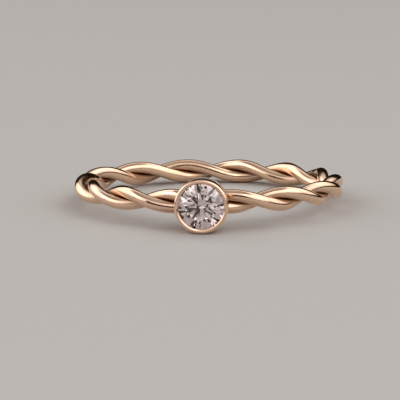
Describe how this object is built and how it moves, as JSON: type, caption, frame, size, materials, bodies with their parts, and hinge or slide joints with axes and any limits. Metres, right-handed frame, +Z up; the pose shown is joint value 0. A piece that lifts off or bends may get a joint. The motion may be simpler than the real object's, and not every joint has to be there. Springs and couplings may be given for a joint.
{
  "type": "twisted shank ring",
  "caption": "Finger ring with a shank of twisted round gold wires and a round brilliant stone in a plain bezel cup.",
  "frame": {"origin": "on the plane that the ring lies on, under the middle of its bounding box", "axes": "+Z up from the surface; the bezel and stone point towards -Y; X runs across the ring, and the ring is alike on both sides after half a turn about the bezel's axis"},
  "size_m": [0.0206, 0.0234, 0.0041],
  "materials": {
    "gold": "polished 14 karat gold, yellow with a rose cast",
    "stone": "clear, polished facets"
  },
  "bodies": {
    "root": {"strand_with_bezel": "gold", "second_strand": "gold", "stone": "stone"}
  },
  "joints": []
}
